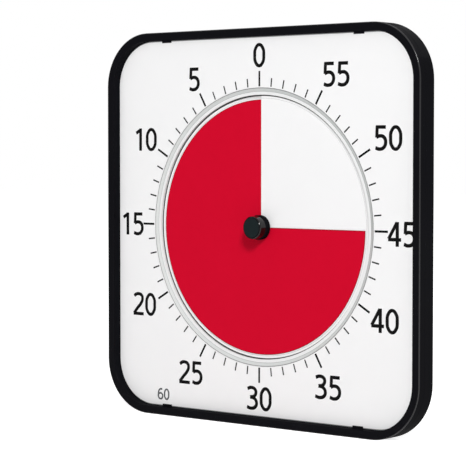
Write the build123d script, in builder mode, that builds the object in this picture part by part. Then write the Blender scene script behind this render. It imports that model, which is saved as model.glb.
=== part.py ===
from build123d import *
import os
from math import acos, cos, pi, radians, sin, tan

# A free-standing countdown timer with a red disc that shows the time left.
# X runs to the right, Y is the depth from the card's face to the rear, Z runs up from the table.
# All sizes are in millimetres.

# ---------------------------------------------------------------- frame
frame_side = 432.0           # outer width and height
frame_corner = 60.0          # outer corner radius
lip_width = 9.0              # width of the bezel's front face
bezel_rise = 10.2            # front face ahead of the card's face
bezel_skin = 2.4             # front and outer walls of the bezel
bezel_inner_skin = 2.0       # wall around the card
edge_round = 1.0             # outer front edge
lip_round = 0.5              # edge around the opening
parting_depth = -0.5         # where the bezel meets the casing
casing_depth = 15.9          # rear face of the casing
casing_skin = 2.4            # side wall of the casing
floor_thickness = 2.0        # rear wall of the casing
rear_round = 1.6             # rear edge of the casing
tongue_height = 3.0          # tongue of the casing inside the bezel
tongue_width = 1.2
fit_gap = 0.15               # between parts that are pushed together
seam_bevel = 0.35            # bevel on both sides of the seam

# ---------------------------------------------------------------- card and panel
card_thickness = 0.8
card_gap = 1.0               # between the card and the wall around it
card_ring_gap = 0.3          # between the card and the dial ring
tab_place = 133.0            # from the middle to each card tab
tab_width = 13.0
tab_reach = 2.4
tab_thickness = 1.2
tab_gap = 0.3                # between a tab and the card
panel_thickness = 2.0
panel_gap = 0.3              # between the panel and the casing wall
flange_gap = 0.3             # between the panel and the dial ring's flange
rib_width = 1.6
rib_height = 4.0
round_rib_offset = 5.7       # from the panel's round edge to the round rib
square_rib_inset = 9.0       # from the panel's edge to the square rib

# ---------------------------------------------------------------- dial
ring_radius = 151.6          # outer edge of the sloping band
ring_land = 0.5              # flat rim outside the slope
slope_width = 3.9            # from the outer edge to the foot of the slope
ledge_width = 3.6            # flat ledge inside the slope
ledge_depth = 1.7
ledge_thickness = 1.2
flange_reach = 6.4           # flange beyond the outer edge
skirt_set = 0.5              # skirt's inside behind the ledge's edge
skirt_wall = 2.0
plate_thickness = 0.7
plate_rim_gap = 0.3
plate_front_gap = 0.45       # between the ledge and the plate
disc_margin = 5.1            # white rim between the red disc and the ledge
disc_thickness = 0.3
sheet_clearance = 0.4        # air between plate and disc, on both sides of the disc
minutes_set = 45.0
minutes_full = 60.0
full_turn = 360.0
post_radius = 1.25           # posts that carry the plate's rim
post_inset = 2.6             # from the skirt to the middle of a post
post_count = 12
post_gap = 0.05

# ---------------------------------------------------------------- knob, hub and spindle
knob_radius = 12.4
knob_face_depth = -14.1
knob_edge = 0.9
collar_lip = 1.0             # collar wider than the head
collar_wall = 2.5
collar_front_depth = -3.6
collar_bevel = 0.7
collar_gap = 0.4             # least gap from the collar to the moving disc
knob_bore_end = -10.0
hub_play = 0.9               # between the hub and the collar's hollow
hub_plate_gap = 1.0          # between the hub and the plate's hole
knob_pocket_depth = -2.2
hub_front_depth = -1.0
hub_seat_gap = 0.05          # between the hub and the disc
hub_bush_gap = 0.45          # left at 0 minutes
spindle_radius = 3.0
running_gap = 0.05           # radial gap of a shaft that turns in its hole
seat_gap = 0.02              # radial gap of a shaft that is pressed in
journal_radius = 2.0
journal_length = 2.6
bush_radius = 4.5
bush_flange_radius = 6.0
bush_flange = 0.8
tube_radius = 7.0            # tube of the drive base, through the casing
tube_drop = 0.7              # tube's front face ahead of the casing's floor
tube_gap = 0.3

# ---------------------------------------------------------------- drive
gear_module = 0.7
centre_teeth = 48
idler_teeth = 24
pinion_teeth = 12
pressure_angle = 20.0
addendum = 0.9               # tooth height over the pitch circle, in modules
dedendum = 1.25
tooth_thinning = 0.08        # taken off each tooth for backlash
tooth_foot = 0.18            # how far a tooth is rooted in its wheel
flank_points = 4
gear_gap = 1.7               # between the base's floor and the wheels
gear_thickness = 2.0
drive_middle_x = 2.0         # middle of the drive case, from the spindle
drive_middle_z = 9.0
drive_width = 56.0
drive_height = 66.0
drive_corner = 6.0
drive_wall = 1.6
drive_floor = 1.6
drive_split = 6.7            # from the casing to where the lid meets the base
drive_cover_gap = 1.9        # between the drive and the rear cover
flange_width = 84.0
flange_thickness = 2.0
drive_screw_x = 36.0
drive_screw_z = 22.0
shoulder_radius = 4.4
shoulder_thickness = 1.0
clutch_radius = 7.0
clutch_arm_width = 3.0
clutch_arms = 3
clutch_leaf = 0.5
clutch_collar_thickness = 2.0
clutch_collar_radius = 5.0
idler_pin_radius = 1.0
idler_pin_end = 0.6          # pin beyond the idler's hub
idler_boss_radius = 2.6
idler_boss_height = 0.6
idler_hub_radius = 2.5
idler_hub_gap = 0.4          # between the boss and the hub
idler_hub_length = 3.4
motor_radius = 10.0
motor_gap = 1.8              # between the wheels and the motor
motor_shaft_radius = 0.8
motor_shaft_end = 0.8        # shaft ahead of the pinion
motor_shaft_bore = 4.0
motor_ring_gap = 0.2
motor_ring_wall = 1.2
motor_ring_height = 2.0

# ---------------------------------------------------------------- rear cover
cover_width = 180.0
cover_below = 126.0          # lower edge below the dial's centre
cover_above = 84.0           # upper edge above the dial's centre
cover_corner = 18.0
cover_wall = 2.2
cover_round = 3.0
cover_column_radius = 4.2
cover_column_inset = 12.0    # from the cover's sides
cover_boss_height = 5.0      # casing bosses behind its rear face
magnet_radius = 9.0
magnet_thickness = 3.0
magnet_gap = 0.1
magnet_proud = 0.1
magnet_cup_wall = 1.6
magnet_inset_x = 35.0        # from the cover's sides
magnet_inset_z = 18.0
sounder_inset = 28.0         # from the cover's right side
sounder_z = 14.0             # above the dial's centre
sounder_radius = 14.0
sounder_height = 8.0
sounder_bore = 2.5
grille_hole = 1.2
grille_pitch = 4.6
grille_rings = 2
grille_step = 6              # holes added by each ring

# ---------------------------------------------------------------- wall hanger
hanger_drop = 24.0           # keyhole's round end below the cover's top
hanger_width = 32.0
hanger_height = 30.0
hanger_thickness = 1.2
hanger_rise = 4.0            # plate's middle above the round end
keyhole_radius = 4.6
keyslot_radius = 2.3
keyslot_length = 8.0
hanger_window_margin = 5.0   # plate's edge hidden by the cover

# ---------------------------------------------------------------- controls on the back
control_inset = 28.0         # from the cover's left side
duration_drop = 21.0         # below the pocket's top
alert_drop = 49.0
volume_drop = 76.0
pocket_width = 40.0
pocket_height = 94.0
pocket_drop = 34.0           # pocket's top below the cover's top
pocket_corner = 5.0
pocket_sink = 3.8            # below the cover's rear face
control_gap = 0.3
duration_radius = 9.6
volume_radius = 7.8
dial_knob_height = 3.2
pointer_width = 1.2
pointer_sink = 0.6
grip_count = 18
grip_radius = 0.7
stem_radius = 3.0
stem_hole_gap = 0.6
stem_reach = 5.0             # stem inside its switch
selector_side = 16.0
pot_side = 12.0
switch_width = 8.0
switch_height = 15.0
switch_body_depth = 6.0
switch_slot_extra = 0.6
lever_width = 3.0
lever_height = 4.0
lever_travel = 4.0
lever_rise = 2.6
lever_foot = 2.0             # lever inside the switch
standoff_height = 5.7
board_thickness = 1.6
board_inset = 6.0            # from the cover's left side
board_width = 42.0
board_height = 114.0
board_drop = 24.0            # below the cover's top
standoff_radius = 3.2
standoff_inset = 5.0
chip_side = 8.0
chip_height = 1.5
chip_inset = 8.0             # from the board's left side
chip_rise = 55.0             # above the board's lower edge
crystal_width = 3.2
crystal_length = 8.0
crystal_rise = 38.0
capacitor_radius = 3.2
capacitor_height = 8.0
capacitor_rise = 20.0

# ---------------------------------------------------------------- leads inside the rear cover
lead_radius = 0.9
lead_hole_gap = 0.3
motor_lead_rise = 5.2        # behind the motor's front
motor_lead_inset = 5.0       # from the board's right side
battery_lead_rise = 2.7      # behind the casing
battery_lead_inset = 14.0    # from the board's right side
battery_lead_exit = 14.0     # above the tray's middle
battery_lead_end = 12.0      # above the board's lower edge
sounder_lead_rise = 2.4      # behind the board
sounder_lead_exit = 8.0      # above the sounder's middle
sounder_lead_gap = 4.0       # above the drive
sounder_lead_inset = 8.0     # from the board's right side
lead_bend = 8.0
lead_end_bend = 1.0

# ---------------------------------------------------------------- batteries
cell_radius = 7.1
cell_length = 49.2
cell_nub_radius = 2.7
cell_nub_height = 1.0
cell_count = 4
cell_gap = 1.0               # between two cells
cell_rest_gap = 0.2
cell_end_gap = 0.1
tray_wall = 1.4
tray_lip = 1.5               # tray walls behind the cells
contact_thickness = 0.4
contact_width = 10.0
contact_height = 10.0
spring_length = 4.6
spring_rise = 5.0            # width of the bent spring leaf
door_inset = 0.8             # door's sides inside the tray's
door_over = 1.4              # door taller than the tray
door_rise = 16.0             # hinge axis above the cover's lower edge
door_gap = 0.3
door_tray_gap = 0.9          # between the hinge and the tray
barrel_radius = 2.5
door_pin_radius = 1.2
door_pin_length = 2.5
door_cheek = 3.5
door_grip_count = 3
door_grip_pitch = 3.0
door_grip_width = 20.0
door_grip_inset = 6.0        # from the door's top to its first groove
door_grip_depth = 0.6

# ---------------------------------------------------------------- swing-out feet
foot_place = 120.0           # from the middle to each foot
pivot_out = 6.0              # pivot behind the casing
foot_length = 60.0
foot_width = 6.0
foot_tail_height = 8.0
foot_end_round = 2.0
barrel_bottom = 4.2
barrel_height = 9.0
foot_barrel_radius = 4.6
ear_radius = 5.0
ear_thickness = 3.0
ear_gap = 0.4
ear_sink = 1.5               # how far an ear runs into the casing
foot_pin_radius = 1.5
foot_step = 6.6              # from the pivot to where the foot drops
foot_step_length = 4.0
pad_thickness = 1.5
pad_length = 13.0
pad_inset = 3.0              # from the foot's rear end

# ---------------------------------------------------------------- screws
screw_radius = 1.45
screw_head_radius = 2.9
screw_head_height = 1.9
screw_head_round = 0.7
cross_width = 0.9
cross_length = 3.4
cross_depth = 1.0
boss_radius = 3.6
hole_gap = 0.35              # around a screw that passes through
boss_lift = 3.8              # casing bosses rise from the floor
panel_screw_inset = 26.0     # from the frame's sides
panel_screw_off = 65.0       # from the middle of a side
panel_screw_corner = 46.0    # corner screws, from the frame's sides
panel_screw_grip = 6.0
cover_screw_grip = 4.5
drive_screw_grip = 4.5
board_screw_grip = 4.5

# ---------------------------------------------------------------- worked out from the sizes above
dial_height = frame_side / 2
opening = frame_side - 2 * lip_width
opening_corner = frame_corner - lip_width
floor_front = casing_depth - floor_thickness
panel_front = card_thickness
panel_rear = panel_front + panel_thickness

slope_foot_radius = ring_radius - slope_width
ledge_radius = slope_foot_radius - ledge_width
skirt_radius = ledge_radius + skirt_set
flange_radius = ring_radius + flange_reach
round_rib_radius = flange_radius + flange_gap + round_rib_offset
disc_radius = ledge_radius - disc_margin
post_circle = skirt_radius - post_inset

ramp_pitch = plate_thickness + disc_thickness + 2 * sheet_clearance
plate_front = ledge_depth + ledge_thickness + plate_front_gap
plate_start_depth = plate_front + plate_thickness / 2 + ramp_pitch
disc_angle = full_turn * minutes_set / minutes_full
disc_front_end = plate_start_depth - ramp_pitch / 2 - ramp_pitch * disc_angle / full_turn
disc_nearest = plate_start_depth - ramp_pitch / 2 - ramp_pitch - disc_thickness / 2

collar_radius = knob_radius + collar_lip
collar_rear_depth = disc_nearest - collar_gap
knob_pocket_radius = collar_radius - collar_wall
hub_radius = knob_pocket_radius - hub_play
plate_hole = hub_radius + hub_plate_gap
tube_front_depth = floor_front - tube_drop
hub_travel_back = ramp_pitch * disc_angle / full_turn
hub_rear_depth = tube_front_depth - bush_flange - hub_bush_gap - hub_travel_back

tray_rear_depth = casing_depth + tray_wall + cell_rest_gap + 2 * cell_radius + tray_lip
barrel_axis_depth = tray_rear_depth + door_tray_gap + barrel_radius
cover_depth = barrel_axis_depth + barrel_radius
cover_inner_depth = cover_depth - cover_wall
cover_height = cover_below + cover_above
cover_middle = (cover_above - cover_below) / 2
cover_boss_depth = casing_depth + cover_boss_height

base_floor = casing_depth + flange_thickness
idler_hub_front = base_floor + idler_boss_height + idler_hub_gap
idler_pin_depth = idler_hub_front + idler_hub_length + idler_pin_end
gear_front_depth = base_floor + gear_gap
gear_rear_depth = gear_front_depth + gear_thickness
idler_distance = gear_module * (centre_teeth + idler_teeth) / 2
pinion_distance = gear_module * (idler_teeth + pinion_teeth) / 2
motor_front_depth = gear_rear_depth + motor_gap
motor_shaft_front = gear_front_depth - motor_shaft_end
drive_split_depth = casing_depth + drive_split
drive_rear_depth = cover_inner_depth - drive_cover_gap
lid_inner_depth = drive_rear_depth - drive_floor
spindle_rear_depth = lid_inner_depth - journal_length - control_gap

hanger_z = cover_above - hanger_drop
pocket_floor_depth = cover_depth - pocket_sink
pocket_top = cover_above - pocket_drop
control_x = control_inset - cover_width / 2
duration_z = pocket_top - duration_drop
alert_z = pocket_top - alert_drop
volume_z = pocket_top - volume_drop
sounder_x = cover_width / 2 - sounder_inset
board_front_depth = casing_depth + standoff_height
board_rear_depth = board_front_depth + board_thickness
board_left = board_inset - cover_width / 2
board_right = board_left + board_width
board_top = cover_above - board_drop
board_bottom = board_top - board_height
switch_rear_depth = pocket_floor_depth - cover_wall - control_gap

cell_pitch = 2 * cell_radius + cell_gap
tray_width = cell_count * cell_pitch + 2 * tray_wall
tray_inner_height = cell_length + cell_nub_height + 2 * (contact_thickness + cell_end_gap) + spring_length
tray_height = tray_inner_height + 2 * tray_wall
door_width = tray_width - 2 * door_inset
door_height = tray_height + door_over
door_bottom = door_rise - cover_below
tray_middle = door_bottom + door_height / 2
cell_depth = casing_depth + tray_wall + cell_rest_gap + cell_radius
pivot_depth = casing_depth + pivot_out

dial_axis = Axis((0, 0, dial_height), (0, 1, 0))
profile_plane = Plane.XY.offset(dial_height)


def face_at(depth):
    """The plane parallel to the card at this depth, centred on the dial and facing the front."""
    return Plane(origin=(0, depth, dial_height), x_dir=(1, 0, 0), z_dir=(0, -1, 0))


def turned(*profile):
    """Add a round solid on the dial's axis from its outline of (radius, depth) points."""
    with BuildSketch(profile_plane) as outline:
        with BuildLine():
            Polyline(*profile, close=True)
        make_face()
    revolve(outline.sketch, axis=dial_axis)


def ramp_sheet(inner_radius, outer_radius, thickness):
    """A round sheet that climbs one pitch per turn along +Z, cut open on the +X side."""
    with BuildLine():
        inner = Helix(ramp_pitch, ramp_pitch, inner_radius)
        outer = Helix(ramp_pitch, ramp_pitch, outer_radius)
    surface = Face.make_surface_from_curves(inner.edge(), outer.edge())
    with BuildPart() as sheet:
        extrude(surface, amount=thickness, dir=(0, 0, 1))
    return sheet.part


def ramp_plane(angle, middle_depth, thickness):
    """Where a ramp sheet starts: its angle runs counter-clockwise from 12 o'clock."""
    turn = radians(angle)
    return Plane(
        origin=(0, middle_depth + thickness / 2, dial_height),
        x_dir=(-sin(turn), 0, cos(turn)),
        z_dir=(0, -1, 0),
    )


def tooth_face(teeth):
    """One involute tooth on the +X side of a wheel, rooted inside the wheel's root circle."""
    pitch_radius = gear_module * teeth / 2
    base_radius = pitch_radius * cos(radians(pressure_angle))
    tip_radius = pitch_radius + addendum * gear_module
    root_radius = pitch_radius - dedendum * gear_module
    half_angle = pi / (2 * teeth) - tooth_thinning / (2 * pitch_radius)

    def involute(radius):
        roll = acos(min(1.0, base_radius / radius))
        return tan(roll) - roll

    def flank_point(radius, side):
        angle = half_angle + involute(pitch_radius) - involute(radius)
        return (radius * cos(angle), side * radius * sin(angle))

    start = max(base_radius, root_radius)
    radii = [start + (tip_radius - start) * step / (flank_points - 1) for step in range(flank_points)]
    foot = root_radius - tooth_foot
    foot_angle = half_angle + involute(pitch_radius)
    foot_top = (foot * cos(foot_angle), foot * sin(foot_angle))
    foot_bottom = (foot_top[0], -foot_top[1])
    with BuildSketch(mode=Mode.PRIVATE) as tooth:
        with BuildLine():
            upper = Spline(*[flank_point(radius, 1) for radius in radii])
            lower = Spline(*[flank_point(radius, -1) for radius in radii])
            Line(upper @ 1, lower @ 1)
            Polyline(upper @ 0, foot_top, foot_bottom, lower @ 0)
        make_face()
    return tooth.sketch


def wheel_profile(teeth):
    """Draw a spur gear on the sketch in hand."""
    tooth = tooth_face(teeth)
    Circle(gear_module * teeth / 2 - dedendum * gear_module)
    with PolarLocations(0, teeth):
        add(tooth)


def add_screws(spots, head_seat_depth, length):
    """Add pan-head screws that point to the front, with a cross cut in each head."""
    with BuildSketch(face_at(head_seat_depth)) as shanks:
        with Locations(*spots):
            Circle(screw_radius)
    extrude(shanks.sketch, amount=length)
    with BuildSketch(face_at(head_seat_depth)) as head_discs:
        with Locations(*spots):
            Circle(screw_head_radius)
    heads = extrude(head_discs.sketch, amount=-screw_head_height)
    head_top = head_seat_depth + screw_head_height
    rims = [edge for edge in heads.edges() if abs(edge.center().Y - head_top) < seat_gap]
    fillet(rims, screw_head_round)
    with BuildSketch(face_at(head_top)) as crosses:
        with Locations(*spots):
            Rectangle(cross_length, cross_width)
            Rectangle(cross_width, cross_length)
    extrude(crosses.sketch, amount=cross_depth, mode=Mode.SUBTRACT)


def save(piece, name):
    """Name a finished piece and write it."""
    piece.part.label = name
    export_step(piece.part, f"parts/{name}.step")


os.makedirs("parts", exist_ok=True)

# ---------------------------------------------------------------- places that several pieces share
side_place = frame_side / 2 - panel_screw_inset
corner_place = frame_side / 2 - panel_screw_corner
panel_spots = (
    [(x, z) for x in (-side_place, side_place) for z in (-panel_screw_off, panel_screw_off)]
    + [(x, z) for x in (-panel_screw_off, panel_screw_off) for z in (-side_place, side_place)]
    + [(x, z) for x in (-corner_place, corner_place) for z in (-corner_place, corner_place)]
)
cover_spots = [
    (side * (cover_width / 2 - cover_column_inset), height)
    for side in (-1, 1)
    for height in (cover_column_inset - cover_below, cover_above - cover_column_inset)
]
drive_spots = [
    (drive_middle_x + x * drive_screw_x, drive_middle_z + z * drive_screw_z)
    for x in (-1, 1) for z in (-1, 1)
]
board_spots = [
    (x, height)
    for x in (board_left + standoff_inset, board_right - standoff_inset)
    for height in (board_bottom + standoff_inset, board_top - standoff_inset)
]
magnet_spots = [
    (side * (cover_width / 2 - magnet_inset_x), height)
    for side in (-1, 1)
    for height in (magnet_inset_z - cover_below, cover_above - magnet_inset_z)
]
idler_spot = (0, idler_distance)
pinion_spot = (pinion_distance, idler_distance)

# ---------------------------------------------------------------- bezel
with BuildPart() as bezel:
    with BuildSketch(face_at(parting_depth)):
        RectangleRounded(frame_side, frame_side, frame_corner)
        RectangleRounded(opening, opening, opening_corner, mode=Mode.SUBTRACT)
    extrude(amount=bezel_rise + parting_depth)
    front_face = bezel.faces().sort_by(Axis.Y)[0]
    fillet(front_face.outer_wire().edges(), edge_round)
    front_face = bezel.faces().sort_by(Axis.Y)[0]
    fillet(front_face.inner_wires()[0].edges(), lip_round)
    seam_face = bezel.faces().sort_by(Axis.Y)[-1]
    chamfer(seam_face.outer_wire().edges(), seam_bevel)
    wall_side = opening + 2 * bezel_inner_skin
    wall_corner = opening_corner + bezel_inner_skin
    with BuildSketch(face_at(parting_depth)):
        hollow_side = frame_side - 2 * bezel_skin
        RectangleRounded(hollow_side, hollow_side, frame_corner - bezel_skin)
        RectangleRounded(wall_side, wall_side, wall_corner, mode=Mode.SUBTRACT)
    extrude(amount=bezel_rise + parting_depth - bezel_skin, mode=Mode.SUBTRACT)
    with BuildSketch(face_at(panel_front)):
        RectangleRounded(wall_side, wall_side, wall_corner)
        RectangleRounded(opening, opening, opening_corner, mode=Mode.SUBTRACT)
    extrude(amount=panel_front - parting_depth)
    tab_root = bezel_inner_skin / 2
    with BuildSketch(face_at(-tab_gap)):
        with GridLocations(2 * tab_place, opening + tab_root - tab_reach, 2, 2):
            Rectangle(tab_width, tab_reach + tab_root)
    extrude(amount=tab_thickness)
save(bezel, "bezel")

# ---------------------------------------------------------------- face card
with BuildPart() as face_card:
    with BuildSketch(face_at(0)):
        card_side = opening - 2 * card_gap
        RectangleRounded(card_side, card_side, opening_corner - card_gap)
        Circle(ring_radius + card_ring_gap, mode=Mode.SUBTRACT)
    extrude(amount=-card_thickness)
save(face_card, "face_card")

# ---------------------------------------------------------------- panel behind the card
with BuildPart() as card_panel:
    panel_side = frame_side - 2 * (casing_skin + panel_gap)
    panel_corner = frame_corner - casing_skin - panel_gap
    with BuildSketch(face_at(panel_front)):
        RectangleRounded(panel_side, panel_side, panel_corner)
        Circle(flange_radius + flange_gap, mode=Mode.SUBTRACT)
    extrude(amount=-panel_thickness)
    with BuildSketch(face_at(panel_rear)):
        rib_side = panel_side - 2 * square_rib_inset
        RectangleRounded(rib_side, rib_side, panel_corner - square_rib_inset)
        rib_inner = rib_side - 2 * rib_width
        RectangleRounded(
            rib_inner, rib_inner, panel_corner - square_rib_inset - rib_width, mode=Mode.SUBTRACT
        )
        Circle(round_rib_radius + rib_width)
        Circle(round_rib_radius, mode=Mode.SUBTRACT)
    extrude(amount=-rib_height)
    with BuildSketch(face_at(panel_rear)):
        with Locations(*panel_spots):
            Circle(boss_radius)
    extrude(amount=panel_rear - floor_front)
    with BuildSketch(face_at(floor_front)):
        with Locations(*panel_spots):
            Circle(screw_radius + seat_gap)
    extrude(amount=panel_screw_grip + seat_gap, mode=Mode.SUBTRACT)
save(card_panel, "card_panel")

# ---------------------------------------------------------------- ring around the dial
with BuildPart() as dial_ring:
    turned(
        (ring_radius, 0),
        (ring_radius - ring_land, 0),
        (slope_foot_radius, ledge_depth),
        (ledge_radius, ledge_depth),
        (ledge_radius, ledge_depth + ledge_thickness),
        (skirt_radius, ledge_depth + ledge_thickness),
        (skirt_radius, floor_front),
        (skirt_radius + skirt_wall, floor_front),
        (skirt_radius + skirt_wall, panel_rear),
        (flange_radius, panel_rear),
        (flange_radius, panel_front),
        (ring_radius, panel_front),
    )
save(dial_ring, "dial_ring")

# ---------------------------------------------------------------- white plate, a ramp of one turn
with BuildPart(ramp_plane(0, plate_start_depth, plate_thickness)) as dial_plate:
    add(ramp_sheet(plate_hole, skirt_radius - plate_rim_gap, plate_thickness))
save(dial_plate, "dial_plate")

# ---------------------------------------------------------------- red disc, a ramp between the plate's turns
with BuildPart(ramp_plane(disc_angle, disc_front_end + ramp_pitch, disc_thickness)) as red_disc:
    add(ramp_sheet(hub_radius + hub_seat_gap, disc_radius, disc_thickness))
save(red_disc, "red_disc")

# ---------------------------------------------------------------- hub that carries the disc along the spindle
with BuildPart() as disc_hub:
    turned(
        (spindle_radius + running_gap, hub_front_depth),
        (hub_radius, hub_front_depth),
        (hub_radius, hub_rear_depth),
        (spindle_radius + running_gap, hub_rear_depth),
    )
save(disc_hub, "disc_hub")

# ---------------------------------------------------------------- knob
with BuildPart() as knob:
    turned(
        (0, knob_face_depth),
        (knob_radius, knob_face_depth),
        (knob_radius, collar_front_depth),
        (collar_radius, collar_front_depth + collar_bevel),
        (collar_radius, collar_rear_depth),
        (knob_pocket_radius, collar_rear_depth),
        (knob_pocket_radius, knob_pocket_depth),
        (spindle_radius + seat_gap, knob_pocket_depth),
        (spindle_radius + seat_gap, knob_bore_end - seat_gap),
        (0, knob_bore_end - seat_gap),
    )
    face_rim = knob.faces().sort_by(Axis.Y)[0].edges()
    fillet(face_rim, knob_edge)
save(knob, "knob")

# ---------------------------------------------------------------- spindle
with BuildPart() as spindle:
    shoulder_front = gear_front_depth - shoulder_thickness
    turned(
        (0, knob_bore_end),
        (spindle_radius, knob_bore_end),
        (spindle_radius, shoulder_front),
        (shoulder_radius, shoulder_front),
        (shoulder_radius, gear_front_depth),
        (spindle_radius, gear_front_depth),
        (spindle_radius, spindle_rear_depth),
        (journal_radius, spindle_rear_depth),
        (journal_radius, spindle_rear_depth + journal_length),
        (0, spindle_rear_depth + journal_length),
    )
save(spindle, "spindle")

# ---------------------------------------------------------------- bearing bush of the spindle
with BuildPart() as spindle_bush:
    turned(
        (spindle_radius + running_gap, tube_front_depth - bush_flange),
        (bush_flange_radius, tube_front_depth - bush_flange),
        (bush_flange_radius, tube_front_depth),
        (bush_radius, tube_front_depth),
        (bush_radius, base_floor),
        (spindle_radius + running_gap, base_floor),
    )
save(spindle_bush, "spindle_bush")

# ---------------------------------------------------------------- rear casing
with BuildPart() as rear_casing:
    with BuildSketch(face_at(parting_depth)):
        RectangleRounded(frame_side, frame_side, frame_corner)
    extrude(amount=parting_depth - casing_depth)
    fillet(rear_casing.faces().sort_by(Axis.Y)[-1].edges(), rear_round)
    chamfer(rear_casing.faces().sort_by(Axis.Y)[0].edges(), seam_bevel)
    inner_side = frame_side - 2 * casing_skin
    inner_corner = frame_corner - casing_skin
    with BuildSketch(face_at(parting_depth)):
        RectangleRounded(inner_side, inner_side, inner_corner)
    extrude(amount=parting_depth - floor_front, mode=Mode.SUBTRACT)
    tongue_side = frame_side - 2 * (bezel_skin + fit_gap)
    tongue_corner = frame_corner - bezel_skin - fit_gap
    tongue_inner = tongue_side - 2 * tongue_width
    with BuildSketch(face_at(panel_front - fit_gap)):
        RectangleRounded(inner_side + casing_skin, inner_side + casing_skin, inner_corner + casing_skin / 2)
        RectangleRounded(tongue_inner, tongue_inner, tongue_corner - tongue_width, mode=Mode.SUBTRACT)
    extrude(amount=panel_front - fit_gap - parting_depth)
    with BuildSketch(face_at(parting_depth)):
        RectangleRounded(tongue_side, tongue_side, tongue_corner)
        RectangleRounded(tongue_inner, tongue_inner, tongue_corner - tongue_width, mode=Mode.SUBTRACT)
    extrude(amount=tongue_height)
    for number in range(post_count):
        angle = full_turn * (number + 0.5) / post_count
        turn = radians(angle)
        plate_back = plate_start_depth - ramp_pitch * angle / full_turn + plate_thickness / 2
        with BuildSketch(face_at(floor_front)):
            with Locations((-post_circle * sin(turn), post_circle * cos(turn))):
                Circle(post_radius)
        extrude(amount=floor_front - plate_back - post_gap)
    with BuildSketch(face_at(floor_front)):
        with Locations(*drive_spots):
            Circle(boss_radius)
    extrude(amount=boss_lift)
    with BuildSketch(face_at(casing_depth)):
        with Locations(*drive_spots):
            Circle(screw_radius + seat_gap)
    extrude(amount=drive_screw_grip + seat_gap, mode=Mode.SUBTRACT)
    with BuildSketch(face_at(casing_depth)):
        with Locations(*cover_spots):
            Circle(boss_radius)
    extrude(amount=-cover_boss_height)
    with BuildSketch(face_at(cover_boss_depth)):
        with Locations(*cover_spots):
            Circle(screw_radius + seat_gap)
    extrude(amount=cover_screw_grip + seat_gap, mode=Mode.SUBTRACT)
    with BuildSketch(face_at(casing_depth)):
        with Locations(*panel_spots):
            Circle(screw_radius + hole_gap)
        Circle(tube_radius + tube_gap)
    extrude(amount=floor_thickness, mode=Mode.SUBTRACT)
    with BuildSketch(face_at(casing_depth)):
        with Locations(*board_spots):
            Circle(standoff_radius)
    extrude(amount=casing_depth - board_front_depth)
    with BuildSketch(face_at(board_front_depth)):
        with Locations(*board_spots):
            Circle(screw_radius + seat_gap)
    extrude(amount=board_screw_grip + seat_gap, mode=Mode.SUBTRACT)
    ear_heights = (
        barrel_bottom - ear_gap - ear_thickness,
        barrel_bottom + barrel_height + ear_gap,
    )
    for ear_height in ear_heights:
        with BuildSketch(Plane.XY.offset(ear_height)):
            for side in (-1, 1):
                with Locations((side * foot_place, pivot_depth)):
                    Circle(ear_radius)
                with Locations((side * foot_place, pivot_depth - (pivot_out + ear_sink) / 2)):
                    Rectangle(2 * ear_radius, pivot_out + ear_sink)
        extrude(amount=ear_thickness)
    with BuildSketch(Plane.XY.offset(ear_heights[0])):
        with Locations((-foot_place, pivot_depth), (foot_place, pivot_depth)):
            Circle(foot_pin_radius + seat_gap)
    extrude(amount=ear_heights[1] + ear_thickness - ear_heights[0], mode=Mode.SUBTRACT)
save(rear_casing, "rear_casing")

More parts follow.
